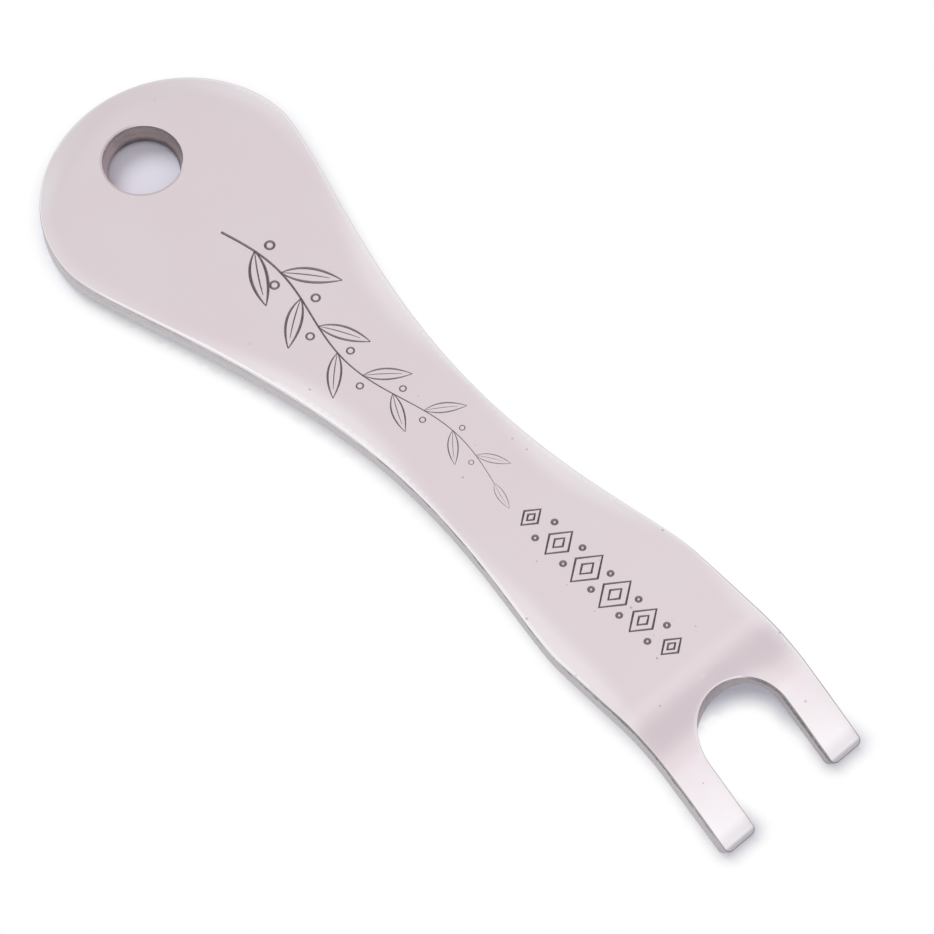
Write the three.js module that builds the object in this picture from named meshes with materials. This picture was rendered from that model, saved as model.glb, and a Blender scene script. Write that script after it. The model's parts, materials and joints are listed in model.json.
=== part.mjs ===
// Bridge pin puller: one blanked steel plate with a hang hole and a two-tine fork bent down.
// Millimetres. +X runs from the head to the fork and +Z is up. The tool lies at rest on z = 0,
// on the head's end and the two tine tips, with the origin under the middle of its outline.
import * as THREE from "three";
import { mergeVertices } from "three/addons/utils/BufferGeometryUtils.js";

// Sheet
const sheetThickness = 1.5;
const edgeRadius = 0.2;

// Head: half an ellipse, with the hole near its end
const headWidth = 18.6;
const headEndDepth = 8.8;
const shoulderReach = 3.3;
const holeDiameter = 5.35;
const holeWeb = 2.7;

// Waist
const headToWaist = 26.4;
const waistWidth = 8.05;
const waistReachHead = 11.8;
const waistReachFork = 8.0;

// Fork, with its lengths measured along the plate before it is bent
const waistToCheek = 17.2;
const cheekReach = 3.1;
const forkWidth = 11.85;
const cheekLength = 7.75;
const slotWidth = 6.7;
const slotDepth = 8.7;
const tipCornerRadius = 0.45;
const tipTopRadius = 0.45;

// Bend across the fork, at the slot's root
const bendLead = 2.35;
const bendInsideRadius = 7.75;
const bendAngleDegrees = 33;

// Fineness of the facets
const flankSteps = 14;
const cheekSteps = 10;
const arcStepDegrees = 9;
const edgeSteps = 2;
const bendSteps = 6;
const tipSteps = 3;
const restRounds = 6;
const weldDistance = 1e-5;

// Places along the flat plate, counted from the head's end
const widestX = headEndDepth;
const holeX = holeWeb + holeDiameter / 2;
const waistX = widestX + headToWaist;
const cheekX = waistX + waistToCheek;
const slotRootX = cheekX + cheekLength;
const tipX = slotRootX + slotDepth;
const bendStartX = slotRootX - bendLead;
const bendAngle = THREE.MathUtils.degToRad(bendAngleDegrees);
const bendMidRadius = bendInsideRadius + sheetThickness / 2;
const bendEndX = bendStartX + bendMidRadius * bendAngle;

function arcPoints(x, y, radiusX, radiusY, fromDegrees, toDegrees) {
  const steps = Math.ceil(Math.abs(toDegrees - fromDegrees) / arcStepDegrees);
  const from = THREE.MathUtils.degToRad(fromDegrees);
  const to = THREE.MathUtils.degToRad(toDegrees);
  const arc = new THREE.EllipseCurve(x, y, radiusX, radiusY, from, to, toDegrees < fromDegrees);
  return arc.getPoints(steps);
}

function flankPoints(x0, y0, reach0, x1, y1, reach1, steps) {
  const start = new THREE.Vector2(x0, y0);
  const leave = new THREE.Vector2(x0 + reach0, y0);
  const arrive = new THREE.Vector2(x1 - reach1, y1);
  const end = new THREE.Vector2(x1, y1);
  return new THREE.CubicBezierCurve(start, leave, arrive, end).getPoints(steps);
}

// One side of the blank, from the middle of the head's end to the middle of the slot's root
function halfOutline() {
  const headHalf = headWidth / 2;
  const waistHalf = waistWidth / 2;
  const forkHalf = forkWidth / 2;
  const slotHalf = slotWidth / 2;
  const corner = tipCornerRadius;
  const points = [
    ...arcPoints(widestX, 0, headEndDepth, headHalf, 180, 90),
    ...flankPoints(widestX, headHalf, shoulderReach, waistX, waistHalf, waistReachHead, flankSteps),
    ...flankPoints(waistX, waistHalf, waistReachFork, cheekX, forkHalf, cheekReach, cheekSteps),
    ...arcPoints(tipX - corner, forkHalf - corner, corner, corner, 90, 0),
    ...arcPoints(tipX - corner, slotHalf + corner, corner, corner, 0, -90),
    ...arcPoints(slotRootX + slotHalf, 0, slotHalf, slotHalf, 90, 180),
  ];
  return points.filter((point, i) => i === 0 || point.distanceTo(points[i - 1]) > weldDistance);
}

// The flat blank with rounded edges, its underside on z = 0
function blankGeometry() {
  const side = halfOutline();
  const otherSide = side.slice(1, -1).reverse().map((point) => new THREE.Vector2(point.x, -point.y));
  const outline = new THREE.Shape([...side, ...otherSide]);
  const rim = arcPoints(holeX, 0, holeDiameter / 2, holeDiameter / 2, 0, 360).slice(0, -1);
  outline.holes.push(new THREE.Path(rim));
  const geometry = new THREE.ExtrudeGeometry(outline, {
    depth: sheetThickness - 2 * edgeRadius,
    bevelEnabled: true,
    bevelSize: edgeRadius,
    bevelThickness: edgeRadius,
    bevelOffset: -edgeRadius,
    bevelSegments: edgeSteps,
  });
  geometry.deleteAttribute("normal");
  geometry.deleteAttribute("uv");
  return geometry.translate(0, 0, edgeRadius);
}

function crossing(a, b, x) {
  const [low, high] = a.x < b.x ? [a, b] : [b, a];
  const point = low.clone().lerp(high, (x - low.x) / (high.x - low.x));
  point.x = x;
  return point;
}

// Cuts every triangle that crosses the plane at x, so that the plate has points to bend there
function cutAcross(triangles, x) {
  const result = [];
  for (const triangle of triangles) {
    const beyond = triangle.map((point) => point.x - x > weldDistance);
    const before = triangle.map((point) => x - point.x > weldDistance);
    if (!beyond.includes(true) || !before.includes(true)) {
      result.push(triangle);
      continue;
    }
    const ring = [];
    for (let i = 0; i < 3; i += 1) {
      const next = (i + 1) % 3;
      ring.push(triangle[i]);
      if ((beyond[i] && before[next]) || (before[i] && beyond[next])) {
        ring.push(crossing(triangle[i], triangle[next], x));
      }
    }
    const low = ring.filter((point) => point.x - x <= weldDistance);
    const high = ring.filter((point) => x - point.x <= weldDistance);
    for (const loop of [turnedToStart(ring, low), turnedToStart(ring, high)]) {
      for (let i = 1; i + 1 < loop.length; i += 1) {
        result.push([loop[0], loop[i], loop[i + 1]]);
      }
    }
  }
  return result;
}

// The kept points of a ring in ring order, starting after the point that was left out
function turnedToStart(ring, kept) {
  const gap = ring.findIndex((point) => !kept.includes(point));
  const turned = [...ring.slice(gap), ...ring.slice(0, gap)];
  return turned.filter((point) => kept.includes(point));
}

// Rounds the upper edge of the tine ends
function roundTipTop(point) {
  const inset = tipTopRadius - (tipX - point.x);
  if (inset <= 0) {
    return;
  }
  const sag = tipTopRadius - Math.sqrt(Math.max(tipTopRadius ** 2 - inset ** 2, 0));
  point.z = Math.min(point.z, sheetThickness - sag);
}

// Carries a point of the flat blank to its place on the bent plate
function bend(point) {
  const along = Math.min(Math.max(point.x - bendStartX, 0), bendEndX - bendStartX);
  const turn = along / bendMidRadius;
  const beyond = point.x - bendStartX - along;
  const radius = bendMidRadius + point.z - sheetThickness / 2;
  point.x = bendStartX + radius * Math.sin(turn) + beyond * Math.cos(turn);
  point.z = sheetThickness / 2 - bendMidRadius + radius * Math.cos(turn) - beyond * Math.sin(turn);
}

function plateGeometry() {
  const flat = blankGeometry().attributes.position;
  let triangles = [];
  for (let i = 0; i < flat.count; i += 3) {
    triangles.push([0, 1, 2].map((k) => new THREE.Vector3().fromBufferAttribute(flat, i + k)));
  }
  for (let i = 0; i <= bendSteps; i += 1) {
    triangles = cutAcross(triangles, THREE.MathUtils.lerp(bendStartX, bendEndX, i / bendSteps));
  }
  for (let i = 1; i <= tipSteps; i += 1) {
    const turn = (i / tipSteps) * (Math.PI / 2);
    triangles = cutAcross(triangles, tipX - tipTopRadius * (1 - Math.cos(turn)));
  }
  const places = [];
  for (const point of triangles.flat()) {
    const moved = point.clone();
    roundTipTop(moved);
    bend(moved);
    places.push(moved.x, moved.y, moved.z);
  }
  const geometry = new THREE.BufferGeometry();
  geometry.setAttribute("position", new THREE.Float32BufferAttribute(places, 3));
  const welded = mergeVertices(geometry, weldDistance);
  welded.computeVertexNormals();
  return welded;
}

function lowestPoint(points, angle) {
  const height = (point) => point.z * Math.cos(angle) + point.x * Math.sin(angle);
  return points.reduce((low, point) => (height(point) < height(low) ? point : low));
}

// The angle at which the bent plate lies on a table, on its head's end and its tine tips
function restingAngle(position) {
  const points = [];
  for (let i = 0; i < position.count; i += 1) {
    points.push(new THREE.Vector3().fromBufferAttribute(position, i));
  }
  const headSide = points.filter((point) => point.x < waistX);
  const forkSide = points.filter((point) => point.x >= waistX);
  let angle = 0;
  for (let round = 0; round < restRounds; round += 1) {
    const head = lowestPoint(headSide, angle);
    const tip = lowestPoint(forkSide, angle);
    angle = Math.atan2(head.z - tip.z, tip.x - head.x);
  }
  return angle;
}

const plate = new THREE.Mesh(
  plateGeometry(),
  new THREE.MeshStandardMaterial({ color: 0xded4d9, roughness: 0.32, metalness: 1.0 }),
);
plate.name = "puller_plate";

const resting = new THREE.Group();
resting.rotation.y = -restingAngle(plate.geometry.attributes.position);
resting.add(plate);
resting.updateMatrixWorld(true);

const box = new THREE.Box3().setFromObject(resting, true);
const middle = box.getCenter(new THREE.Vector3());
resting.position.set(-middle.x, -middle.y, -box.min.z);

const bridgePinPuller = new THREE.Group();
bridgePinPuller.add(resting);
bridgePinPuller.updateMatrixWorld(true);

export default bridgePinPuller;
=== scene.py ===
import json
import math

import bmesh
import bpy
from mathutils import Matrix, Vector, kdtree, noise
from mathutils.geometry import delaunay_2d_cdt, interpolate_bezier


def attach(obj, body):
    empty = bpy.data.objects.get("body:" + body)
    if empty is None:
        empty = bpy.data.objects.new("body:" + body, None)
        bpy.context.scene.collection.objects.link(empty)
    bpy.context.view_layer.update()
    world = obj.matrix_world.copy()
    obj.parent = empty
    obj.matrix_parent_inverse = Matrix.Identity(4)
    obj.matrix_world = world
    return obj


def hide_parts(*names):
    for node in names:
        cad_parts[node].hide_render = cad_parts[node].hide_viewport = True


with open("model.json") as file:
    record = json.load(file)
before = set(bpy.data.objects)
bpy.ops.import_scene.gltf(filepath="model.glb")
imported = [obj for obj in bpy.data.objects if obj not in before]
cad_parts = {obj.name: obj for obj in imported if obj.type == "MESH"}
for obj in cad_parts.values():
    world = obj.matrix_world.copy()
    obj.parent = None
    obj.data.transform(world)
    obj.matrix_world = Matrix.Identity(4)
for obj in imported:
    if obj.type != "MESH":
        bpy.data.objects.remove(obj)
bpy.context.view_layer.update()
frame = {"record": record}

scene = bpy.context.scene
mm = 0.001


# small helpers for node trees
def addNode(tree, kind, inputs=None, **settings):
    made = tree.nodes.new(kind)
    for name, value in settings.items():
        setattr(made, name, value)
    for name, value in (inputs or {}).items():
        plug(tree, made.inputs[name], value)
    return made


def outOf(tree, kind, inputs=None, **settings):
    return addNode(tree, kind, inputs, **settings).outputs[0]


def plug(tree, socket, value):
    if isinstance(value, bpy.types.NodeSocket):
        tree.links.new(value, socket)
    else:
        socket.default_value = value


def mathOf(tree, operation, first, second=0.0):
    made = addNode(tree, "ShaderNodeMath", operation=operation)
    plug(tree, made.inputs[0], first)
    plug(tree, made.inputs[1], second)
    return made.outputs[0]


def product(tree, first, *others):
    for other in others:
        first = mathOf(tree, "MULTIPLY", first, other)
    return first


def rangeOf(tree, value, fromLow, fromHigh, toLow, toHigh):
    made = addNode(tree, "ShaderNodeMapRange", {
        "Value": value, "From Min": fromLow, "From Max": fromHigh, "To Min": toLow, "To Max": toHigh})
    return made.outputs["Result"]


def easeOf(tree, value, fromLow, fromHigh, toLow, toHigh):
    eased = rangeOf(tree, value, fromLow, fromHigh, toLow, toHigh)
    eased.node.interpolation_type = "SMOOTHSTEP"
    return eased


def blendColour(tree, factor, first, second):
    made = addNode(tree, "ShaderNodeMix", data_type="RGBA")
    plug(tree, made.inputs["Factor"], factor)
    plug(tree, made.inputs["A"], first)
    plug(tree, made.inputs["B"], second)
    return made.outputs["Result"]


def noiseOf(tree, place, scale, detail, roughness=0.5):
    made = addNode(tree, "ShaderNodeTexNoise", {
        "Vector": place, "Scale": scale, "Detail": detail, "Roughness": roughness})
    return made.outputs["Fac"]


def distanceOf(tree, place, point):
    made = addNode(tree, "ShaderNodeVectorMath", {0: place, 1: point}, operation="DISTANCE")
    return made.outputs["Value"]


def addBump(tree, shader, height, look):
    bump = addNode(tree, "ShaderNodeBump", {
        "Height": height, "Strength": look["bumpStrength"], "Distance": look["bumpHeight"]})
    plug(tree, shader.inputs["Normal"], bump.outputs["Normal"])


# 1 for what is seen directly or in a mirror, 0 for the light that falls on dull surfaces
def shownShare(tree):
    path = addNode(tree, "ShaderNodeLightPath").outputs
    mirrored = mathOf(tree, "MAXIMUM", path["Is Glossy Ray"], path["Is Transmission Ray"])
    return mathOf(tree, "MAXIMUM", path["Is Camera Ray"], mirrored)


def newMaterial(name):
    material = bpy.data.materials.new(name)
    material.use_nodes = True
    tree = material.node_tree
    shader = tree.nodes["Principled BSDF"]
    place = addNode(tree, "ShaderNodeTexCoord").outputs["Object"]
    return material, tree, shader, place


# plate: sizes in millimetres along the flat blank, counted from the head's end
plateSizes = {
    "thickness": 1.5,
    "headWidth": 18.6,
    "headEndDepth": 8.8,
    "shoulderReach": 3.3,
    "holeDiameter": 5.35,
    "holeWeb": 2.7,
    "headToWaist": 26.4,
    "waistWidth": 8.05,
    "waistReachHead": 11.8,
    "waistReachFork": 8.0,
    "waistToCheek": 17.2,
    "cheekReach": 3.1,
    "forkWidth": 11.85,
    "cheekLength": 7.75,
    "slotWidth": 6.7,
    "slotDepth": 8.7,
    "tipCornerRadius": 0.45,
    "tipTopRadius": 0.45,
    "bendLead": 2.35,
    "bendInsideRadius": 7.75,
    "bendAngle": 33.0,
    "topEdgeRadius": (0.08, 0.16),      # rolled over by the punch along the flanks, sharper at the ends
    "topEdgeBluntsNear": (8.0, 22.0),
    "topEdgeBluntsFar": (0.0, 6.0),
    "topEdgeSharpensNear": (37.0, 28.0),
    "topEdgeSharpensFar": (57.0, 36.0),
    "holeEdgeRadius": 0.03,
    "bottomEdgeRadius": 0.08,
    "edgeTurns": (90, 72, 54, 36, 18, 0),
    "crownReach": 2.1,          # soft fall of the top face towards its edge
    "crownNarrow": 0.3,         # which is narrower where it is faint
    "crownDrop": 0.195,
    "crownEase": 0.3,           # and gets no steeper in its outer half
    "crownEven": 0.58,          # hand polishing leaves it uneven along the two flanks
    "crownWaveNear": (28.0, 24.0),
    "crownWaveFar": (24.0, 19.0),
    "crownSides": 1.5,
    "crownHead": (8.0, 18.0),           # less of it on the near side of the head, but not at its end
    "crownHeadEnd": (5.0, 1.5),
    "crownFork": (60.0, 57.0),          # and less on the tines
    "crownLeast": 0.35,
    "tipFall": 0.3,             # tines thin out a little towards their ends
    "tipFallReach": 6.9,
    "tipFallRows": 12,
    "tipTurns": (35, 50, 65, 80),
    "burnishShare": 0.4,        # smooth upper share of the punched wall
    "breakInset": 0.035,        # rough lower share stands back by this much
    "breakStep": 0.09,
    "breakWobble": 0.07,
    "breakWaves": (1.7, 6.0),
    "breakFineShare": 0.5,
    "breakGrain": 0.02,
    "grainWaves": (3.5, 4.0),
    "tornRows": ((1.0, 0.62), (0.8, 0.34)),     # shares of the inset and of the height
    "footInset": 0.5,
    "footTurn": 0.3,
    "holeLean": 0.34,           # the punched hole narrows downwards
    "rootLean": 0.52,           # and the wall at the slot's root leans into the slot
    "rootLeanFacing": (0.94, 0.34),
    "crispNear": ((0.8, 24.0), (55.0, 67.8)),       # no soft rim on the near side of the head and the tine
    "crispFacing": -0.2,
    "crispInset": 0.06,
    "pointGap": 0.24,
    "arcStep": 0.2,
    "edgeTreeGap": 0.04,
    "capInsets": (0.3, 0.48, 0.7, 0.95, 1.22, 1.5, 1.8, 2.1),
    "capGap": 0.5,
    "capKeep": 0.97,
    "capHoleGap": 0.25,
    "capEdgeGap": 0.24,
    "capRowGap": 0.2,
    "capRowHalf": 14,
    "faceStarts": 0.6,
    "leastDepth": 0.01,
    "slack": 0.01,
    "weldGap": 1e-4,
    "capWeld": 1e-6,
    "smoothAngle": 26.0,
}
thickness = plateSizes["thickness"]
widestX = plateSizes["headEndDepth"]
holeX = plateSizes["holeWeb"] + plateSizes["holeDiameter"] / 2
waistX = widestX + plateSizes["headToWaist"]
cheekX = waistX + plateSizes["waistToCheek"]
slotRootX = cheekX + plateSizes["cheekLength"]
tipX = slotRootX + plateSizes["slotDepth"]
bendStartX = slotRootX - plateSizes["bendLead"]
bendRadius = plateSizes["bendInsideRadius"] + thickness / 2
bendEndX = bendStartX + bendRadius * math.radians(plateSizes["bendAngle"])


def arcPoints(x, y, radiusX, radiusY, fromDegrees, toDegrees, gap):
    sweep = math.radians(toDegrees - fromDegrees)
    fine = math.ceil(abs(sweep) * max(radiusX, radiusY) / gap)
    steps = max(fine, math.ceil(abs(sweep) / plateSizes["arcStep"]))
    angles = [math.radians(fromDegrees) + sweep * i / steps for i in range(steps + 1)]
    return [Vector((x + radiusX * math.cos(a), y + radiusY * math.sin(a))) for a in angles]


def flankPoints(x0, y0, reach0, x1, y1, reach1, gap):
    knots = [Vector((x0, y0)), Vector((x0 + reach0, y0)), Vector((x1 - reach1, y1)), Vector((x1, y1))]
    return interpolate_bezier(*knots, math.ceil((x1 - x0) / gap) + 1)


def straightPoints(start, end, gap):
    steps = math.ceil((end - start).length / gap)
    return [start.lerp(end, i / steps) for i in range(steps + 1)]


def withoutDoubles(points):
    kept = []
    for point in points:
        if not kept or (point - kept[-1]).length > plateSizes["weldGap"]:
            kept.append(point)
    return kept


def outlineLoop(gap):
    size = plateSizes
    head, waist, fork, slot = (size[k] / 2 for k in ("headWidth", "waistWidth", "forkWidth", "slotWidth"))
    corner = size["tipCornerRadius"]
    side = arcPoints(widestX, 0, size["headEndDepth"], head, 180, 90, gap)
    side += flankPoints(widestX, head, size["shoulderReach"], waistX, waist, size["waistReachHead"], gap)
    side += flankPoints(waistX, waist, size["waistReachFork"], cheekX, fork, size["cheekReach"], gap)
    side += straightPoints(Vector((cheekX, fork)), Vector((tipX - corner, fork)), gap)
    side += arcPoints(tipX - corner, fork - corner, corner, corner, 90, 0, gap)
    side += straightPoints(Vector((tipX, fork - corner)), Vector((tipX, slot + corner)), gap)
    side += arcPoints(tipX - corner, slot + corner, corner, corner, 0, -90, gap)
    side += straightPoints(Vector((tipX - corner, slot)), Vector((slotRootX + slot, slot)), gap)
    side += arcPoints(slotRootX + slot, 0, slot, slot, 90, 180, gap)
    side = withoutDoubles(side)
    otherSide = [Vector((p.x, -p.y)) for p in side[1:-1]]
    return otherSide + list(reversed(side))      # runs anticlockwise, seen from above


def holeLoop(gap):
    radius = plateSizes["holeDiameter"] / 2
    return arcPoints(holeX, 0, radius, radius, 360, 0, gap)[:-1]      # clockwise, metal on its left


def outwardOf(loop):
    result = []
    for i, point in enumerate(loop):
        along = loop[(i + 1) % len(loop)] - loop[i - 1]
        result.append(Vector((along.y, -along.x)).normalized())
    return result


def newEdgeTree():
    points = outlineLoop(plateSizes["edgeTreeGap"])
    tree = kdtree.KDTree(len(points))
    for i, point in enumerate(points):
        tree.insert((point.x, point.y, 0), i)
    tree.balance()
    return tree


edgeTree = newEdgeTree()


def edgeDistance(x, y):
    return edgeTree.find((x, y, 0))[2]


def holeDistance(x, y):
    return math.hypot(x - holeX, y) - plateSizes["holeDiameter"] / 2


def tipSag(x):
    radius = plateSizes["tipTopRadius"]
    inset = min(max(radius - (tipX - x), 0), radius)
    return radius - math.sqrt(radius ** 2 - inset ** 2)


def shareOf(value, start, end, least=0.0):
    share = min(max((value - start) / (end - start), 0), 1)
    return least + (1 - least) * share * share * (3 - 2 * share)


def crownShare(x, y):
    size = plateSizes
    even, least = size["crownEven"], size["crownLeast"]
    near, far = (even + (1 - even) * math.cos(2 * math.pi * (x - peak) / length)
                 for peak, length in (size["crownWaveNear"], size["crownWaveFar"]))
    near *= max(shareOf(x, *size["crownHead"], least), shareOf(x, *size["crownHeadEnd"], least))
    side = shareOf(y, -size["crownSides"], size["crownSides"])
    return (near + (far - near) * side) * shareOf(x, *size["crownFork"], least)


def topHeight(x, y, inset):
    size = plateSizes
    share = crownShare(x, y)
    reach = size["crownReach"] * (size["crownNarrow"] + (1 - size["crownNarrow"]) * share)
    short = 1 - min(inset / reach, 1)
    eased = short ** 2 - size["crownEase"] * short ** 4
    end = max(x - (tipX - size["tipFallReach"]), 0) / size["tipFallReach"]
    return thickness - size["crownDrop"] * share * eased - size["tipFall"] * end ** 2


def outerEdgeRadius(x, y):
    side = "Near" if y < 0 else "Far"
    sharp, blunt = plateSizes["topEdgeRadius"]
    share = shareOf(x, *plateSizes["topEdgeBlunts" + side])
    share *= shareOf(x, *plateSizes["topEdgeSharpens" + side])
    return sharp + (blunt - sharp) * share


def wallLean(point, away):
    slot, slack = plateSizes["slotWidth"] / 2, plateSizes["slack"]
    if point.x < widestX and holeDistance(*point) < slack:
        return plateSizes["holeLean"]
    if point.x < slotRootX - slack or abs(point.y) > slot + slack:
        return 0.0
    fading = min(max((slotRootX + 2 * slot - point.x) / slot, 0), 1)
    facing = max(away.dot(Vector(plateSizes["rootLeanFacing"])), 0)
    return plateSizes["rootLean"] * fading * facing ** 2


def wallRings(loop, radii):
    size = plateSizes
    outward = outwardOf(loop)
    leans = [wallLean(point, away) for point, away in zip(loop, outward)]

    def ring(inset, height, wobble=0.0, grain=0.0, seed=0.0):
        coarse, fine = size["breakWaves"]
        along, down = size["grainWaves"]
        made = []
        for point, away, lean in zip(loop, outward, leans):
            spot = Vector((point.x, point.y, seed))
            waves = noise.noise(spot * coarse) + size["breakFineShare"] * noise.noise(spot * fine)
            z = height + wobble * waves
            back = inset + grain * noise.noise(spot * along + Vector((0, 0, z * down)))
            x, y = point - away * (back - lean * (1 - z / thickness))
            made.append(Vector((x, y, min(z, thickness - tipSag(x)))))
        return made

    def roundedRing(turn):
        made = []
        for point, away, radius in zip(loop, outward, radii):
            x, y = point - away * radius * (1 - math.cos(turn))
            z = topHeight(x, y, edgeDistance(x, y)) - radius * (1 - math.sin(turn))
            made.append(Vector((x, y, min(z, thickness - tipSag(x)))))
        return made

    rings = [roundedRing(math.radians(turn)) for turn in size["edgeTurns"]]
    rounded = len(rings) - 1
    wobble, grain, inset = size["breakWobble"], size["breakGrain"], size["breakInset"]
    burnishFoot = thickness * (1 - size["burnishShare"])
    rings.append(ring(0.0, burnishFoot, wobble, 0.0, 1.0))
    rings.append(ring(inset, burnishFoot - size["breakStep"], wobble, grain, 1.0))
    for seed, (insetShare, heightShare) in enumerate(size["tornRows"], 2):
        rings.append(ring(inset * insetShare, burnishFoot * heightShare, 0.0, grain, seed))
    foot, footInset = size["bottomEdgeRadius"], inset * size["footInset"]
    rings.append(ring(footInset, foot, 0.0, grain * size["footInset"], len(size["tornRows"]) + 2))
    rings.append(ring(footInset + foot * size["footTurn"], foot * size["footTurn"]))
    rings.append(ring(footInset + foot, 0.0))
    return rings, rounded


def capPoints():
    size = plateSizes
    loose = []
    loop = outlineLoop(size["capGap"])
    for inset in size["capInsets"]:
        for point, away in zip(loop, outwardOf(loop)):
            spot = point - away * inset
            if edgeDistance(*spot) > inset * size["capKeep"] and holeDistance(*spot) > size["capHoleGap"]:
                loose.append(spot)
    loop = outlineLoop(size["pointGap"])
    for point, away in zip(loop, outwardOf(loop)):
        crisp = any(start < point.x < end for start, end in size["crispNear"])
        if crisp and away.y < size["crispFacing"]:
            loose.append(point - away * (outerEdgeRadius(*point) + size["crispInset"]))

    gap = size["capRowGap"]
    rows = [bendStartX - gap + gap * i for i in range(math.ceil((bendEndX - bendStartX) / gap) + 3)]
    rows += [tipX - size["tipFallReach"] * i / size["tipFallRows"] for i in range(2, size["tipFallRows"] + 1)]
    rows += [tipX - size["tipTopRadius"] * (1 - math.cos(math.radians(turn))) for turn in size["tipTurns"]]
    half, count = size["forkWidth"] / 2, size["capRowHalf"]
    for x in rows:
        for i in range(-count, count + 1):
            y = half * i / count
            if edgeDistance(x, y) > size["capEdgeGap"] and insideBlank(x, y):
                loose.append(Vector((x, y)))
    return loose


def insideBlank(x, y):
    slot = plateSizes["slotWidth"] / 2
    inSlot = x > slotRootX and abs(y) < slot and x > slotRootX + slot - math.sqrt(slot ** 2 - y ** 2)
    return abs(y) < plateSizes["forkWidth"] / 2 and x < tipX and not inSlot


def addCap(mesh, boundaries, loose, heightAt, upward):
    flat, fixed, edges = [], [], []
    for boundary in boundaries:
        first = len(flat)
        flat += [Vector((v.co.x, v.co.y)) for v in boundary]
        fixed += boundary
        edges += [(first + i, first + (i + 1) % len(boundary)) for i in range(len(boundary))]
    flat += loose
    places, _, triangles, origins, _, _ = delaunay_2d_cdt(flat, edges, [], 1, plateSizes["capWeld"])
    corners = []
    for place, origin in zip(places, origins):
        known = [i for i in origin if i < len(fixed)]
        if known:
            corners.append(fixed[known[0]])
        else:
            corners.append(mesh.verts.new((place.x, place.y, heightAt(place.x, place.y))))
    holeRadius = plateSizes["holeDiameter"] / 2
    for triangle in triangles:
        middle = sum((places[i] for i in triangle), Vector((0, 0))) / 3
        if (middle - Vector((holeX, 0))).length > holeRadius:
            ordered = triangle if upward else list(reversed(triangle))
            mesh.faces.new([corners[i] for i in ordered])


def blankMesh():
    mesh = bmesh.new()
    tops, bottoms = [], []
    wallDepth = mesh.verts.layers.float.new("wallDepth")      # 0 on the faces, up to 1 down the wall
    gap, leastDepth = plateSizes["pointGap"], plateSizes["leastDepth"]
    outer, inner = outlineLoop(gap), holeLoop(gap)
    outerRadii = [outerEdgeRadius(*point) for point in outer]
    innerRadii = [plateSizes["holeEdgeRadius"]] * len(inner)
    for loop, radii in ((outer, outerRadii), (inner, innerRadii)):
        rings, rounded = wallRings(loop, radii)
        rows = [[mesh.verts.new(point) for point in ring] for ring in rings]
        for row in rows[1:]:
            for vert in row:
                vert[wallDepth] = min(max(1 - vert.co.z / thickness, leastDepth), 1)
        for level, (upper, lower) in enumerate(zip(rows, rows[1:])):
            for i in range(len(loop)):
                j = (i + 1) % len(loop)
                face = mesh.faces.new((upper[i], lower[i], lower[j], upper[j]))
                face.material_index = 0 if level < rounded else 1
        tops.append(rows[0])
        bottoms.append(rows[-1])
    loose = capPoints()

    def crowned(x, y):
        return min(topHeight(x, y, edgeDistance(x, y)), thickness - tipSag(x))

    addCap(mesh, tops, loose, crowned, True)
    addCap(mesh, bottoms, loose, lambda x, y: 0.0, False)
    made = bpy.data.meshes.new("plateBlank")
    mesh.to_mesh(made)
    mesh.free()
    return made


# the bend at the slot's root and the way the tool lies on the table
rest = next(m for m in frame["record"]["mounts"] if m["name"] == "underside_face")
restTurn = Matrix.Rotation(-math.atan2(rest["axis"][0], -rest["axis"][2]), 4, "Y")
restShift = Vector(rest["pos_m"]) - restTurn @ Vector((waistX * mm, 0, 0))


def settled(point):
    along = min(max(point.x - bendStartX, 0), bendEndX - bendStartX)
    turn = along / bendRadius
    beyond = point.x - bendStartX - along
    radius = bendRadius + point.z - thickness / 2
    x = bendStartX + radius * math.sin(turn) + beyond * math.cos(turn)
    z = thickness / 2 - bendRadius + radius * math.cos(turn) - beyond * math.sin(turn)
    return restTurn @ (Vector((x, point.y, z)) * mm) + restShift


# satin polished steel
satinLook = {
    "tint": (0.825, 0.806, 0.818, 1),
    "tintWarm": (0.812, 0.793, 0.800, 1),
    "roughness": (0.225, 0.266),
    "cloudScale": 190.0,
    "cloudDetail": 3.0,
    "cloudRange": (0.3, 0.7),
    "grainScale": 5200.0,
    "grainDetail": 2.0,
    "grainHeight": 0.05,
    "bumpStrength": 0.15,
    "bumpHeight": 0.00004,
    "pitScale": 760.0,
    "pitSize": 0.05,
    "pitReach": (-0.01, 0.026),             # more pits towards the fork
    "pitShare": (0.985, 0.84),
    "pitTint": (0.25, 0.22, 0.22, 1),
    "pitDarkens": 0.4,
    "endShadeTint": (0.41, 0.385, 0.42, 1),      # painted shade on the cut ends of the tines
    "endReach": (0.0006, 0.0002),
    "endFade": (0.0016, 0.0006),            # with a fainter painted shade running up to them
    "endFaint": 0.3,
    "edgeDepth": (0.0, 0.009),
    "edgeTint": (0.27, 0.25, 0.26, 1),      # darker, patchy line along the sharp edges of the fork
    "edgeReach": (0.015, 0.025),
    "edgePatchy": (0.35, 0.6),
    "edgeFaintest": 0.65,
    "edgeBright": -0.0006,                  # but bright on the near half of the slot's root
    "edgeBrightReach": (0.0022, 0.0032),
    "headEdgeShadeTint": (0.60, 0.575, 0.595, 1),        # and a paler line of painted shade along the near side of the head
    "headEdgeReach": (-0.0255, -0.0215),
    "headEdgeSide": (-0.0080, -0.0066),
    "rimShadeTint": (0.63, 0.605, 0.595, 1),     # painted shade in a ring around the hole, but not on its far side
    "rimReach": (0.00004, 0.00023),
    "rimFar": (0.0008, 0.0018),
}


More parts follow.
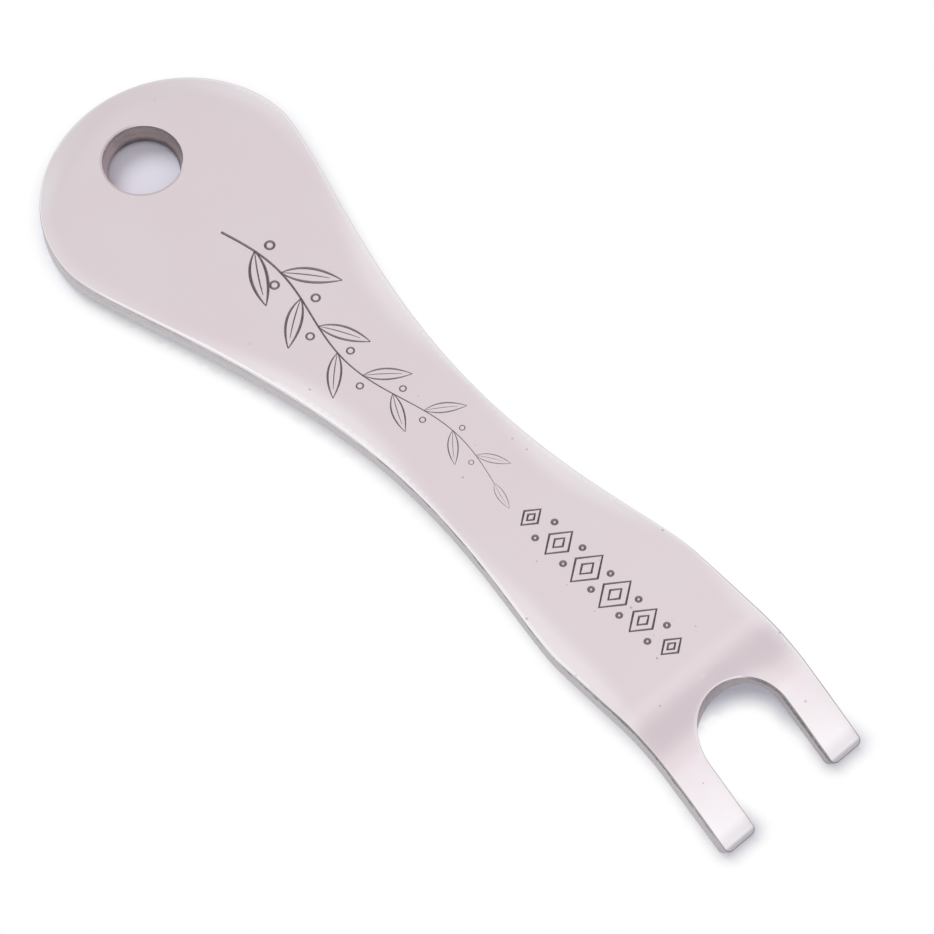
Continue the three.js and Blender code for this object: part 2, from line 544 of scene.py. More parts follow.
def pitsOf(tree, place, length):
    look = satinLook
    size = look["pitSize"]
    pits = addNode(tree, "ShaderNodeTexVoronoi", {"Vector": place, "Scale": look["pitScale"]},
                   voronoi_dimensions="2D")
    chance = addNode(tree, "ShaderNodeSeparateColor", {"Color": pits.outputs["Color"]}).outputs
    fewer = rangeOf(tree, length, *look["pitReach"], *look["pitShare"])
    rare = mathOf(tree, "GREATER_THAN", chance[0], fewer)
    uneven = rangeOf(tree, chance[1], 0.0, 1.0, 0.0, size)
    ragged = mathOf(tree, "ADD", pits.outputs["Distance"], uneven)
    return product(tree, rangeOf(tree, ragged, size, size * 2, 1.0, 0.0), rare)


# painted shade towards the ends of the tines
def tineEndShade(tree, place):
    look = satinLook
    tip = settled(Vector((tipX, 0, thickness)))
    tineRun = (tip - settled(Vector((tipX - 1, 0, thickness)))).normalized()
    toTip = addNode(tree, "ShaderNodeVectorMath", {0: place, 1: tineRun}, operation="DOT_PRODUCT")
    run = toTip.outputs["Value"]
    end = tip.dot(tineRun)
    cut = easeOf(tree, run, *(end - short for short in look["endReach"]), 0.0, 1.0)
    faint = easeOf(tree, run, *(end - short for short in look["endFade"]), 0.0, look["endFaint"])
    return mathOf(tree, "MAXIMUM", cut, faint)


# painted shade in a ring around the hole's rim, not on its far side
def rimShadeRing(tree, place, across):
    fromHole = distanceOf(tree, place, settled(Vector((holeX, 0, thickness))))
    fromRim = mathOf(tree, "SUBTRACT", fromHole, plateSizes["holeDiameter"] / 2 * mm)
    return product(tree, easeOf(tree, fromRim, *satinLook["rimReach"], 1.0, 0.0),
                   easeOf(tree, across, *satinLook["rimFar"], 1.0, 0.0))


def satinSteel():
    look = satinLook
    material, tree, shader, place = newMaterial("satinSteel")
    length, across, _ = addNode(tree, "ShaderNodeSeparateXYZ", {"Vector": place}).outputs
    cloud = noiseOf(tree, place, look["cloudScale"], look["cloudDetail"])
    clouded = rangeOf(tree, cloud, *look["cloudRange"], 0.0, 1.0)
    tint = blendColour(tree, clouded, look["tint"], look["tintWarm"])
    # painted shade on the tine ends
    tint = blendColour(tree, tineEndShade(tree, place), tint, look["endShadeTint"])

    depth = addNode(tree, "ShaderNodeAttribute", attribute_name="wallDepth").outputs["Fac"]
    onEdge = rangeOf(tree, depth, *look["edgeDepth"], 0.0, 1.0)
    # painted shade on the rim of the near side of the head
    headRimShade = product(tree, onEdge, easeOf(tree, length, *look["headEdgeReach"], 1.0, 0.0),
                     easeOf(tree, across, *look["headEdgeSide"], 1.0, 0.0))
    tint = blendColour(tree, headRimShade, tint, look["headEdgeShadeTint"])
    fromBright = mathOf(tree, "ABSOLUTE", mathOf(tree, "SUBTRACT", across, look["edgeBright"]))
    onFork = product(tree, onEdge, easeOf(tree, length, *look["edgeReach"], 0.0, 1.0),
                     easeOf(tree, fromBright, *look["edgeBrightReach"], 0.0, 1.0),
                     rangeOf(tree, cloud, *look["edgePatchy"], look["edgeFaintest"], 1.0))
    tint = blendColour(tree, onFork, tint, look["edgeTint"])
    tint = blendColour(tree, rimShadeRing(tree, place, across), tint, look["rimShadeTint"])

    pit = pitsOf(tree, place, length)
    tint = blendColour(tree, product(tree, pit, look["pitDarkens"]), tint, look["pitTint"])
    plug(tree, shader.inputs["Base Color"], tint)
    plug(tree, shader.inputs["Roughness"], rangeOf(tree, cloud, *look["cloudRange"], *look["roughness"]))
    shader.inputs["Metallic"].default_value = 1.0
    grain = noiseOf(tree, place, look["grainScale"], look["grainDetail"])
    addBump(tree, shader, mathOf(tree, "SUBTRACT", product(tree, grain, look["grainHeight"]), pit), look)
    return material


# punched walls, with the ragged line where the sheet tore away from the die
punchedLook = {
    "tint": (0.57, 0.535, 0.555, 1),
    "tintFork": (0.51, 0.485, 0.50, 1),         # darker, in patches, towards the fork
    "forkReach": (-0.022, 0.014),
    "mottleLeast": 0.7,
    "roughScale": 3600.0,
    "roughDetail": (4.0, 0.7),
    "patchScale": 700.0,
    "patchDetail": 2.0,
    "noiseRange": (0.3, 0.7),
    "roughness": (0.36, 0.52),
    "bumpStrength": 0.5,
    "bumpHeight": 0.00006,
    "raggedPatch": (0.25, 0.75),
    "raggedBy": (-0.1, 0.1),
    # painted shade on the walls of the slot, lighter towards its open end
    "slotShadeTint": (0.335, 0.297, 0.325, 1),
    "slotEndShadeTint": (0.46, 0.43, 0.445, 1),
    "slotEndReach": (0.0275, 0.0315),
    "slotReach": (0.0035, 0.0039),
    "slotStarts": (0.020, 0.022),
    # warm tone of the hole's wall, darkened by painted shade
    "holeWarmShadeTint": (0.47, 0.405, 0.385, 1),
    "holeReach": (0.0028, 0.0036),
    "holeNearLitTint": (0.74, 0.62, 0.625, 1),     # painted light, brighter towards the near side
    "holeNearReach": (0.0004, -0.0012),
    "holeFootShadowTint": (0.20, 0.185, 0.19, 1),     # and painted shadow at its foot
    "holeFootReach": (0.62, 0.9),
    "holeFootNear": 0.35,
    "tearTint": (0.07, 0.065, 0.065, 1),
    "tearStarts": (0.01, 0.06),
    "tearEnds": (0.14, 0.27),
    "tearDeeper": 0.2,          # a wider dark line on the far half of the slot, a faint one on the near half
    "tearFaint": 0.25,
    "tearFar": (0.0020, 0.0030),
    "tearPatchy": (0.3, 0.6),
    "tearThinnest": 0.35,
    "tearAtHead": 0.3,
}


def punchedSteel():
    look = punchedLook
    material, tree, shader, place = newMaterial("punchedSteel")
    length, across, _ = addNode(tree, "ShaderNodeSeparateXYZ", {"Vector": place}).outputs
    depth = addNode(tree, "ShaderNodeAttribute", attribute_name="wallDepth").outputs["Fac"]
    rough = noiseOf(tree, place, look["roughScale"], *look["roughDetail"])
    patch = noiseOf(tree, place, look["patchScale"], look["patchDetail"])
    ragged = mathOf(tree, "ADD", depth, rangeOf(tree, patch, *look["raggedPatch"], *look["raggedBy"]))
    forkward = easeOf(tree, length, *look["forkReach"], 0.0, 1.0)
    inSlot = product(tree, easeOf(tree, length, *look["slotStarts"], 0.0, 1.0),
                     easeOf(tree, mathOf(tree, "ABSOLUTE", across), *look["slotReach"], 1.0, 0.0))
    fromHole = distanceOf(tree, place, settled(Vector((holeX, 0, thickness / 2))))
    inHole = easeOf(tree, fromHole, *look["holeReach"], 1.0, 0.0)

    mottled = product(tree, forkward, rangeOf(tree, patch, *look["noiseRange"], look["mottleLeast"], 1.0))
    outerWall = blendColour(tree, mottled, look["tint"], look["tintFork"])
    # painted shade on the slot's walls
    slotEnd = easeOf(tree, length, *look["slotEndReach"], 0.0, 1.0)
    slotShadedWall = blendColour(tree, slotEnd, look["slotShadeTint"], look["slotEndShadeTint"])
    # painted light on the near side of the hole's wall, painted shadow at its foot
    holeNearLit = easeOf(tree, across, *look["holeNearReach"], 0.0, 1.0)
    holeWall = blendColour(tree, holeNearLit, look["holeWarmShadeTint"], look["holeNearLitTint"])
    holeFootShadow = product(tree, easeOf(tree, ragged, *look["holeFootReach"], 0.0, 1.0),
                       rangeOf(tree, holeNearLit, 0.0, 1.0, 1.0, look["holeFootNear"]))
    holeWall = blendColour(tree, holeFootShadow, holeWall, look["holeFootShadowTint"])
    wall = blendColour(tree, inHole, blendColour(tree, inSlot, outerWall, slotShadedWall), holeWall)

    deeper = product(tree, inSlot, easeOf(tree, across, *look["tearFar"], 0.0, look["tearDeeper"]))
    fainter = product(tree, inSlot, easeOf(tree, across, *look["tearFar"], 1.0 - look["tearFaint"], 0.0))
    tear = product(tree, easeOf(tree, ragged, *look["tearStarts"], 0.0, 1.0),
                   mathOf(tree, "SUBTRACT", 1.0, fainter),
                   easeOf(tree, mathOf(tree, "SUBTRACT", ragged, deeper), *look["tearEnds"], 1.0, 0.0),
                   rangeOf(tree, rough, *look["tearPatchy"], look["tearThinnest"], 1.0),
                   rangeOf(tree, forkward, 0.0, 1.0, look["tearAtHead"], 1.0))
    plug(tree, shader.inputs["Base Color"], blendColour(tree, tear, wall, look["tearTint"]))
    plug(tree, shader.inputs["Roughness"], rangeOf(tree, rough, *look["noiseRange"], *look["roughness"]))
    shader.inputs["Metallic"].default_value = 1.0
    addBump(tree, shader, rough, look)
    return material


# engraved lines
engravedLook = {
    "tint": (0.15, 0.13, 0.125, 1),
    "tintWorn": (0.41, 0.37, 0.36, 1),
    "roughScale": 6000.0,
    "roughDetail": 3.0,
    "noiseRange": (0.3, 0.7),
    "roughness": (0.45, 0.65),
    "bumpStrength": 0.4,
    "bumpHeight": 0.00004,
}


def engravedSteel():
    look = engravedLook
    material, tree, shader, place = newMaterial("engravedSteel")
    rough = noiseOf(tree, place, look["roughScale"], look["roughDetail"])
    plug(tree, shader.inputs["Base Color"], blendColour(tree, rough, look["tint"], look["tintWorn"]))
    plug(tree, shader.inputs["Roughness"], rangeOf(tree, rough, *look["noiseRange"], *look["roughness"]))
    shader.inputs["Metallic"].default_value = 1.0
    addBump(tree, shader, rough, look)
    return material


satin, punched, engraved = satinSteel(), punchedSteel(), engravedSteel()
print("steel finishes made")

# engraved vine along the shank, in the blank's millimetres
vineSizes = {
    "Start": 13.2,
    "Length": 26.5,
    "Waves": 1.5,
    "Wave Height": 0.75,
    "Leaf Count": 11,
    "Leaf Length": 4.3,
    "Leaf Width": 1.25,
    "Leaf Lean": 0.72,
    "Small End": 0.5,
    "Berry Radius": 0.3,
    "Cut Half Width": 0.075,
    "Cut Depth Share": 0.8,
    "Bold End": 1.25,
    "Fine End": 0.28,
}
vineDetail = {
    "stemPoints": 90,
    "firstBud": 0.1,            # share of the stem that is bare
    "berryPlace": (0.5, -0.95),
    "berryPoints": 18,
    "countSlack": 0.5,
}
# shares of a leaf's length and width, and the weights of its lines at the ends and in the middle
leafShape = {
    "widest": 0.42,
    "bulges": (1.0, -0.75),
    "sidePoints": 18,
    "sideLine": (0.45, 1.15),
    "ribMiddle": (0.4, 0.14),
    "ribEnd": (0.8, 0.04),
    "ribPoints": 10,
    "ribLine": (0.3, 0.6),
}
# engraved row of lozenges and dots on the cheeks
rowSizes = {
    "Start": 43.2,
    "Length": 13.2,
    "Lozenge Count": 6,
    "Lozenge Size": 1.05,
    "Dot Radius": 0.17,
    "Cut Half Width": 0.095,
    "Cut Depth Share": 0.75,
}
rowDetail = {
    "corners": 4,
    "smallEnds": 0.6,
    "innerShare": 0.42,
    "stretch": 1.35,
    "dotOffset": 0.85,
    "dotPoints": 12,
}
graverSides = 4
engravingWeld = 1e-5


def newTree(name, sizes):
    tree = bpy.data.node_groups.new(name, "GeometryNodeTree")
    for label, value in sizes.items():
        kind = "NodeSocketInt" if isinstance(value, int) else "NodeSocketFloat"
        tree.interface.new_socket(name=label, in_out="INPUT", socket_type=kind)
    tree.interface.new_socket(name="Geometry", in_out="OUTPUT", socket_type="NodeSocketGeometry")
    return tree, addNode(tree, "NodeGroupInput").outputs


def vectorOf(tree, x=0.0, y=0.0, z=0.0):
    return outOf(tree, "ShaderNodeCombineXYZ", {"X": x, "Y": y, "Z": z})


def lineOf(tree, start, end):
    return outOf(tree, "GeometryNodeCurvePrimitiveLine", {"Start": start, "End": end})


def circleOf(tree, points, radius):
    return outOf(tree, "GeometryNodeCurvePrimitiveCircle", {"Resolution": points, "Radius": radius})


def withRadius(tree, curve, radius):
    return outOf(tree, "GeometryNodeSetCurveRadius", {"Curve": curve, "Radius": radius})


def swelling(tree, curve, thin, thick):
    factor = addNode(tree, "GeometryNodeSplineParameter").outputs["Factor"]
    swell = mathOf(tree, "SINE", product(tree, factor, math.pi))
    return withRadius(tree, curve, rangeOf(tree, swell, 0.0, 1.0, thin, thick))


def joined(tree, parts):
    made = addNode(tree, "GeometryNodeJoinGeometry")
    for part in parts:
        tree.links.new(part, made.inputs[0])
    return made.outputs[0]


def realized(tree, geometry):
    return outOf(tree, "GeometryNodeRealizeInstances", {"Geometry": geometry})


def cutAlong(tree, curves, size):
    upright = outOf(tree, "GeometryNodeSetCurveNormal", {"Curve": curves}, mode="Z_UP")
    drawn = outOf(tree, "GeometryNodeInputRadius")
    cut = outOf(tree, "GeometryNodeCurveToMesh", {
        "Curve": upright,
        "Profile Curve": circleOf(tree, graverSides, size["Cut Half Width"]),
        "Scale": drawn,
        "Fill Caps": True})
    placed = outOf(tree, "GeometryNodeTransform", {
        "Geometry": cut,
        "Translation": vectorOf(tree, size["Start"], 0.0, thickness),
        "Scale": vectorOf(tree, 1.0, 1.0, size["Cut Depth Share"])})
    done = outOf(tree, "GeometryNodeSetMaterial", {"Geometry": realized(tree, placed), "Material": engraved})
    tree.links.new(done, addNode(tree, "NodeGroupOutput").inputs[0])


def leafCurves(tree, length, width):
    shape = leafShape

    def spot(longShare, wideShare):
        return vectorOf(tree, product(tree, length, longShare), product(tree, width, wideShare))

    def stroke(points, middle, end, line):
        curve = outOf(tree, "GeometryNodeCurveQuadraticBezier", {
            "Resolution": points, "Start": (0, 0, 0), "Middle": middle, "End": end})
        return swelling(tree, curve, *line)

    tip = vectorOf(tree, length)
    strokes = [stroke(shape["sidePoints"], spot(shape["widest"], bulge), tip, shape["sideLine"])
               for bulge in shape["bulges"]]
    ribMiddle, ribEnd = spot(*shape["ribMiddle"]), spot(*shape["ribEnd"])
    strokes.append(stroke(shape["ribPoints"], ribMiddle, ribEnd, shape["ribLine"]))
    return joined(tree, strokes)


def vineTree():
    tree, size = newTree("engravedVine", vineSizes)
    straight = lineOf(tree, (0, 0, 0), vectorOf(tree, size["Length"]))
    fine = outOf(tree, "GeometryNodeResampleCurve", {"Curve": straight, "Count": vineDetail["stemPoints"]})
    factor = addNode(tree, "GeometryNodeSplineParameter").outputs["Factor"]
    phase = product(tree, factor, size["Waves"], 2 * math.pi)
    sway = product(tree, mathOf(tree, "SINE", phase), size["Wave Height"])
    stem = outOf(tree, "GeometryNodeSetPosition", {"Geometry": fine, "Offset": vectorOf(tree, 0.0, sway)})
    stemCut = withRadius(tree, stem, rangeOf(tree, factor, 0.0, 1.0, size["Bold End"], size["Fine End"]))

    grown = outOf(tree, "GeometryNodeTrimCurve", {
        "Curve": stem, 2: vineDetail["firstBud"], 3: 1.0}, mode="FACTOR")
    buds = addNode(tree, "GeometryNodeCurveToPoints", {"Curve": grown, "Count": size["Leaf Count"]})
    index = outOf(tree, "GeometryNodeInputIndex")
    side = mathOf(tree, "SUBTRACT", product(tree, mathOf(tree, "MODULO", index, 2.0), 2.0), 1.0)
    last = mathOf(tree, "SUBTRACT", size["Leaf Count"], 1.0)
    isLast = mathOf(tree, "COMPARE", index, last)
    isLast.node.inputs[2].default_value = vineDetail["countSlack"]
    notLast = mathOf(tree, "SUBTRACT", 1.0, isLast)
    along = outOf(tree, "FunctionNodeAlignRotationToVector", {"Vector": buds.outputs["Tangent"]},
                  axis="X", pivot_axis="Z")
    lean = product(tree, side, size["Leaf Lean"], notLast)
    turned = outOf(tree, "FunctionNodeRotateRotation", {
        "Rotation": along, "Rotate By": vectorOf(tree, 0.0, 0.0, lean)}, rotation_space="LOCAL")

    share = mathOf(tree, "DIVIDE", index, last)
    shrink = rangeOf(tree, share, 0.0, 1.0, 1.0, size["Small End"])
    growth = vectorOf(tree, shrink, product(tree, shrink, side), 1.0)
    weight = rangeOf(tree, share, 0.0, 1.0, size["Bold End"], size["Fine End"])
    weighed = outOf(tree, "GeometryNodeStoreNamedAttribute", {
        "Geometry": buds.outputs[0], "Name": "weight", "Value": weight}, domain="POINT")
    leaves = outOf(tree, "GeometryNodeInstanceOnPoints", {
        "Points": weighed,
        "Instance": leafCurves(tree, size["Leaf Length"], size["Leaf Width"]),
        "Rotation": turned,
        "Scale": growth})
    berry = outOf(tree, "GeometryNodeTransform", {
        "Geometry": circleOf(tree, vineDetail["berryPoints"], size["Berry Radius"]),
        "Translation": vectorOf(tree, *vineDetail["berryPlace"])})
    berries = outOf(tree, "GeometryNodeInstanceOnPoints", {
        "Points": weighed, "Selection": notLast, "Instance": berry, "Rotation": along, "Scale": growth})

    curves = realized(tree, joined(tree, [leaves, berries]))
    kept = addNode(tree, "GeometryNodeInputNamedAttribute", {"Name": "weight"}).outputs["Attribute"]
    drawn = outOf(tree, "GeometryNodeInputRadius")
    curves = withRadius(tree, curves, product(tree, drawn, kept))
    cutAlong(tree, joined(tree, [stemCut, curves]), size)
    return tree


def rowTree():
    tree, size = newTree("engravedRow", rowSizes)
    gaps = mathOf(tree, "SUBTRACT", size["Lozenge Count"], 1.0)
    line = lineOf(tree, (0, 0, 0), vectorOf(tree, size["Length"]))
    places = outOf(tree, "GeometryNodeCurveToPoints", {"Curve": line, "Count": size["Lozenge Count"]})
    share = mathOf(tree, "DIVIDE", outOf(tree, "GeometryNodeInputIndex"), gaps)
    swell = mathOf(tree, "SINE", product(tree, share, math.pi))
    growth = rangeOf(tree, swell, 0.0, 1.0, rowDetail["smallEnds"], 1.0)
    lozenge = circleOf(tree, rowDetail["corners"], size["Lozenge Size"])
    inner = outOf(tree, "GeometryNodeTransform", {
        "Geometry": lozenge, "Scale": (rowDetail["innerShare"], rowDetail["innerShare"], 1)})
    lozenges = outOf(tree, "GeometryNodeInstanceOnPoints", {
        "Points": places,
        "Instance": joined(tree, [lozenge, inner]),
        "Scale": vectorOf(tree, growth, product(tree, growth, rowDetail["stretch"]), 1.0)})

    half = mathOf(tree, "DIVIDE", mathOf(tree, "DIVIDE", size["Length"], gaps), 2.0)
    lastDot = mathOf(tree, "SUBTRACT", size["Length"], half)
    between = lineOf(tree, vectorOf(tree, half), vectorOf(tree, lastDot))
    dotPlaces = outOf(tree, "GeometryNodeCurveToPoints", {"Curve": between, "Count": gaps})
    dot = circleOf(tree, rowDetail["dotPoints"], size["Dot Radius"])
    offset = rowDetail["dotOffset"]
    pair = joined(tree, [outOf(tree, "GeometryNodeTransform", {"Geometry": dot, "Translation": (0, y, 0)})
                         for y in (-offset, offset)])
    dots = outOf(tree, "GeometryNodeInstanceOnPoints", {"Points": dotPlaces, "Instance": pair})
    curves = realized(tree, joined(tree, [lozenges, dots]))
    cutAlong(tree, withRadius(tree, curves, 1.0), size)
    return tree


def plainCopy(thing):
    graph = bpy.context.evaluated_depsgraph_get()
    return bpy.data.meshes.new_from_object(thing.evaluated_get(graph), depsgraph=graph)


def engravingMesh(tree, sizes):
    holder = bpy.data.objects.new(tree.name, bpy.data.meshes.new(tree.name))
    scene.collection.objects.link(holder)
    modifier = holder.modifiers.new("engraving", "NODES")
    modifier.node_group = tree
    for socket in tree.interface.items_tree:
        if socket.in_out == "INPUT":
            modifier[socket.identifier] = sizes[socket.name]
    made = plainCopy(holder)
    bpy.data.objects.remove(holder)
    return made


def cutterObject():
    both = bmesh.new()
    for tree, sizes in ((vineTree(), vineSizes), (rowTree(), rowSizes)):
        both.from_mesh(engravingMesh(tree, sizes))
    bmesh.ops.remove_doubles(both, verts=both.verts, dist=engravingWeld)
    bmesh.ops.recalc_face_normals(both, faces=both.faces)
    for vert in both.verts:
        x, y, z = vert.co
        vert.co.z = z - thickness + topHeight(x, y, edgeDistance(x, y))
    made = bpy.data.meshes.new("engravingCutter")
    both.to_mesh(made)
    both.free()
    made.materials.append(engraved)
    cutter = bpy.data.objects.new("engravingCutter", made)
    scene.collection.objects.link(cutter)
    return cutter


# the engraving cut spreads the wall's depth over the flat faces, where it has no place
def clearFaceDepth(mesh):
    depths = mesh.attributes["wallDepth"].data
    for vertex, depth in zip(mesh.vertices, depths):
        x, y, _ = vertex.co
        if min(edgeDistance(x, y), holeDistance(x, y)) > plateSizes["faceStarts"]:
            depth.value = 0.0


def pullerPlate():
    blank = blankMesh()
    blank.materials.append(satin)
    blank.materials.append(punched)
    plate = bpy.data.objects.new("pullerPlate", blank)
    scene.collection.objects.link(plate)
    print("blank made,", len(blank.polygons), "faces")
    cutter = cutterObject()
    cut = plate.modifiers.new("engraving", "BOOLEAN")
    cut.operation = "DIFFERENCE"
    cut.solver = "EXACT"
    cut.use_self = True
    cut.object = cutter
    cut.material_mode = "TRANSFER"
    plate.data = plainCopy(plate)
    plate.modifiers.clear()
    bpy.data.objects.remove(cutter)
    clearFaceDepth(plate.data)
    for vertex in plate.data.vertices:
        vertex.co = settled(vertex.co)
    for face in plate.data.polygons:
        face.use_smooth = True
    plate.data.set_sharp_from_angle(angle=math.radians(plateSizes["smoothAngle"]))
    print("plate engraved and bent,", len(plate.data.polygons), "faces")
    return plate


plate = pullerPlate()
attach(plate, "root")
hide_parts("puller_plate")

# floor, light and camera
studio = {
    "floorHalf": 0.5,
    "floorColour": (0.80, 0.79, 0.885, 1),
    "floorFleck": (0.792, 0.7821, 0.87615, 1),
    "floorFleckScale": 60.0,
    "floorFleckDetail": 2.0,
    "floorRoughness": 0.9,
    "floorSheen": 0.1,
    "floorOpen": (0.046, 0.024),        # half lengths of the part of the floor that is finely divided
    "floorGap": 0.0003,
    "shadowReach": 0.00195,             # painted shadow: the paper shows in a band drawn around the tool's outline, and fades to white beyond
    "shadowUnder": 0.36,                # further in where the plate stands off the floor
    "shadowShift": 0.00065,             # and more on the side that is turned away from the light
    "shadowFrom": (-0.30, -0.5),
    "shadowSlot": 0.00046,              # more shade in the slot, but not along its near wall
    "shadowSlotReach": (1.8, 0.9),
    "shadowSlotMost": 1.3,
    "shadowHead": 0.00035,              # and under the near side of the head
    "shadowGap": 0.3,
    "skyWhite": (1.17, 1.17, 1.17, 1),
    "skyFar": (1.06, 1.05, 1.06, 1),
    "farReach": (0.28, 0.46),
    "skyHead": (0.578, 0.504, 0.53, 1),         # dimmer ceiling that the flat of the plate mirrors
    "headReach": (-0.78, -0.60),
    "skyShank": (0.985, 0.861, 0.902, 1),
    "shankReach": (-0.70, -0.34),
    "skyDark": (0.71, 0.605, 0.655, 1),
    "darkMiddle": 0.09,
    "darkReach": (0.14, 0.38),
    "skyTip": (1.36, 1.39, 1.41, 1),            # what the bent tines mirror
    "tipStarts": (0.57, 0.79),
    "tipEnds": (0.80, 0.94),
    "skyRim": (0.60, 0.58, 0.655, 1),
    "rimReach": (0.1, 0.5),
    "skyDiffuse": 0.60,
    "ceilingAcross": 0.30,
    "ceilingReach": (0.06, 0.24),
    "keyPower": 1.31,
    "keySize": 0.22,
    "keyPlace": (-0.38, 0.02, 0.31),
}


def floorSteps(half):
    count = math.ceil(2 * half / studio["floorGap"])
    fine = [-half + 2 * half * i / count for i in range(count + 1)]
    return [-studio["floorHalf"]] + fine + [studio["floorHalf"]]


def slotShade(x, y):
    slot = plateSizes["slotWidth"] / 2
    if x < slotRootX or abs(y) > slot + plateSizes["slack"]:
        return 0.0
    fading = shareOf(x, *(slotRootX + share * slot for share in studio["shadowSlotReach"]))
    return fading * min(1 + y / slot, studio["shadowSlotMost"])


def headShade(x, away):
    return max(1 - x / waistX, 0) ** 2 * max(-away.y, 0)


# painted shadow band on the floor, drawn from the tool's outline
def floorPaintedShadow(places):
    loop = outlineLoop(studio["shadowGap"])
    outward = outwardOf(loop)
    feet = [settled(Vector((point.x, point.y, 0))) for point in loop]
    tree = kdtree.KDTree(len(feet))
    for i, foot in enumerate(feet):
        tree.insert((foot.x, foot.y, 0), i)
    tree.balance()
    towardsLight = Vector(studio["shadowFrom"])
    shares = []
    for place in places:
        near, index, distance = tree.find(place)
        outside = (place - near).to_2d().dot(outward[index]) > 0
        beyond = (distance if outside else -distance) + feet[index].z * studio["shadowUnder"]
        beyond += studio["shadowShift"] * (1 + outward[index].dot(towardsLight))
        beyond -= studio["shadowSlot"] * slotShade(*loop[index])
        beyond -= studio["shadowHead"] * headShade(loop[index].x, outward[index])
        shares.append(shareOf(beyond, 0, studio["shadowReach"]))
    return shares


def newFloor():
    xs, ys = (floorSteps(half) for half in studio["floorOpen"])
    places = [Vector((x, y, 0)) for y in ys for x in xs]
    wide = len(xs)
    corners = [(j * wide + i, j * wide + i + 1, (j + 1) * wide + i + 1, (j + 1) * wide + i)
               for j in range(len(ys) - 1) for i in range(wide - 1)]
    mesh = bpy.data.meshes.new("floor")
    mesh.from_pydata(places, [], corners)
    mesh.attributes.new("outsidePaintedShadow", "FLOAT", "POINT").data.foreach_set("value", floorPaintedShadow(places))
    floor = bpy.data.objects.new("floor", mesh)
    scene.collection.objects.link(floor)

    material, tree, shader, place = newMaterial("paleFloor")
    fleck = noiseOf(tree, place, studio["floorFleckScale"], studio["floorFleckDetail"])
    paper = blendColour(tree, fleck, studio["floorColour"], studio["floorFleck"])
    plug(tree, shader.inputs["Base Color"], paper)
    shader.inputs["Roughness"].default_value = studio["floorRoughness"]
    shader.inputs["Specular IOR Level"].default_value = studio["floorSheen"]
    # white beyond the painted shadow band, for what is seen directly or mirrored
    outsidePaintedShadow = addNode(tree, "ShaderNodeAttribute", attribute_name="outsidePaintedShadow").outputs["Fac"]
    white = outOf(tree, "ShaderNodeEmission", {"Color": (1, 1, 1, 1), "Strength": 1.0})
    both = outOf(tree, "ShaderNodeMixShader", {
        0: product(tree, shownShare(tree), outsidePaintedShadow), 1: shader.outputs[0], 2: white})
    plug(tree, tree.nodes["Material Output"].inputs["Surface"], both)
    mesh.materials.append(material)


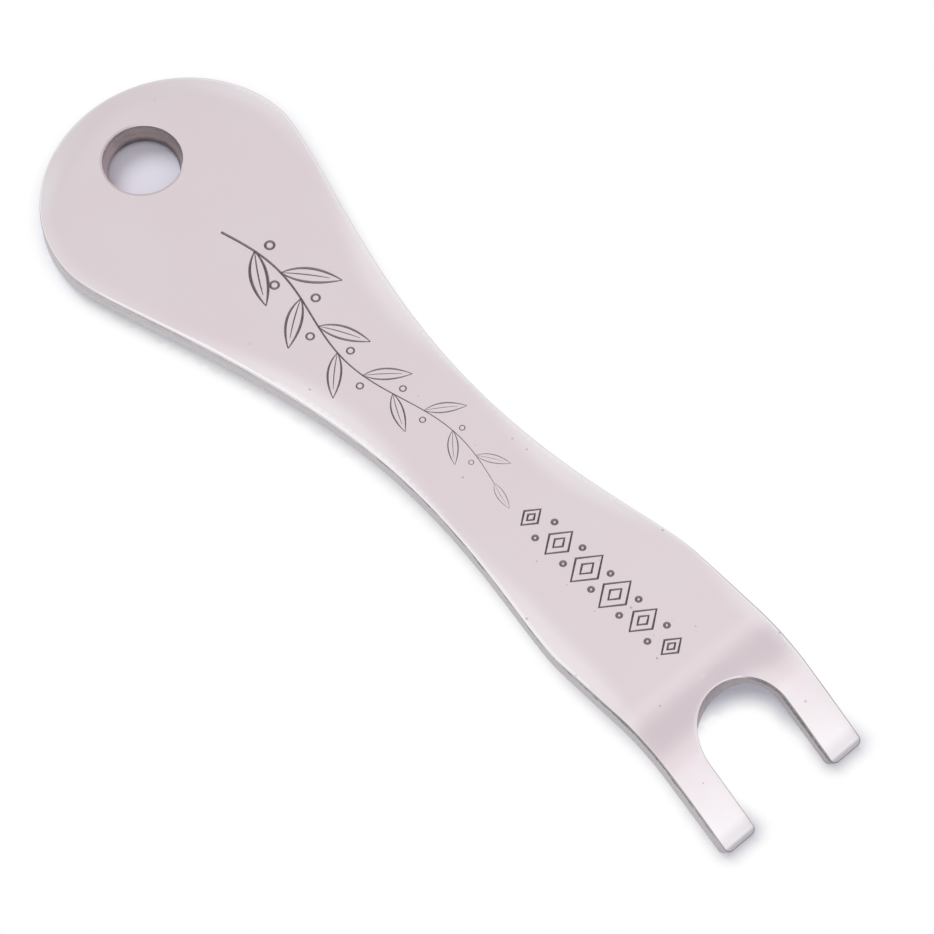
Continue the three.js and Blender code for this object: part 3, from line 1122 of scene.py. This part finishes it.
def newWorld():
    world = bpy.data.worlds.new("studio")
    world.use_nodes = True
    scene.world = world
    tree = world.node_tree
    towards = addNode(tree, "ShaderNodeTexCoord").outputs["Generated"]
    x, y, z = addNode(tree, "ShaderNodeSeparateXYZ", {"Vector": towards}).outputs

    shankward = rangeOf(tree, x, *studio["shankReach"], 0.0, 1.0)
    ceiling = blendColour(tree, shankward, studio["skyHead"], studio["skyShank"])
    fromDark = mathOf(tree, "ABSOLUTE", mathOf(tree, "SUBTRACT", x, studio["darkMiddle"]))
    darkened = easeOf(tree, fromDark, *studio["darkReach"], 1.0, 0.0)
    ceiling = blendColour(tree, darkened, ceiling, studio["skyDark"])
    tipward = product(tree, easeOf(tree, x, *studio["tipStarts"], 0.0, 1.0),
                      easeOf(tree, x, *studio["tipEnds"], 1.0, 0.0))
    ceiling = blendColour(tree, tipward, ceiling, studio["skyTip"])
    ceiling = blendColour(tree, easeOf(tree, x, *studio["headReach"], 1.0, 0.0), ceiling, studio["skyFar"])

    farSide = easeOf(tree, y, *studio["farReach"], 0.0, 1.0)
    sky = blendColour(tree, farSide, studio["skyWhite"], studio["skyFar"])
    across = mathOf(tree, "ABSOLUTE", mathOf(tree, "SUBTRACT", y, studio["ceilingAcross"]))
    sky = blendColour(tree, easeOf(tree, across, *studio["ceilingReach"], 1.0, 0.0), sky, ceiling)
    sky = blendColour(tree, easeOf(tree, z, *studio["rimReach"], 1.0, 0.0), sky, studio["skyRim"])
    background = tree.nodes["Background"]
    plug(tree, background.inputs["Color"], sky)
    strength = rangeOf(tree, shownShare(tree), 0.0, 1.0, studio["skyDiffuse"], 1.0)
    plug(tree, background.inputs["Strength"], strength)


def newKeyLamp():
    data = bpy.data.lights.new("keyLamp", "AREA")
    data.shape = "DISK"
    data.size = studio["keySize"]
    data.energy = studio["keyPower"]
    lamp = bpy.data.objects.new("keyLamp", data)
    lamp.location = studio["keyPlace"]
    lamp.rotation_euler = (-Vector(studio["keyPlace"])).to_track_quat("-Z", "Y").to_euler()
    lamp.visible_glossy = False      # lights the floor; the steel mirrors the sky alone
    scene.collection.objects.link(lamp)


# seen from the near right, looking down, with a long lens
cameraView = {
    "azimuth": 47.474,
    "elevation": 62.4575,
    "distance": 0.58542,
    "panRight": 0.002036,
    "panDown": 0.00069,
    "focalPixels": 9000.0,
    "framePixels": 934.0,
    "sensor": 36.0,
    "clip": (0.01, 10.0),
}


def newCamera():
    view = cameraView
    turn, lift = math.radians(view["azimuth"]), math.radians(view["elevation"])
    back = Vector((math.sin(turn) * math.cos(lift), -math.cos(turn) * math.cos(lift), math.sin(lift)))
    right = Vector((math.cos(turn), math.sin(turn), 0))
    up = back.cross(right)
    data = bpy.data.cameras.new("camera")
    data.sensor_width = view["sensor"]
    data.lens = view["focalPixels"] / view["framePixels"] * view["sensor"]
    data.clip_start, data.clip_end = view["clip"]
    camera = bpy.data.objects.new("camera", data)
    turned = Matrix((right, up, back)).transposed().to_4x4()
    place = back * view["distance"] + right * view["panRight"] - up * view["panDown"]
    camera.matrix_world = Matrix.Translation(place) @ turned
    scene.collection.objects.link(camera)
    scene.camera = camera


newFloor()
newWorld()
newKeyLamp()
newCamera()
scene.view_settings.view_transform = "Standard"
print("floor, light and camera set")
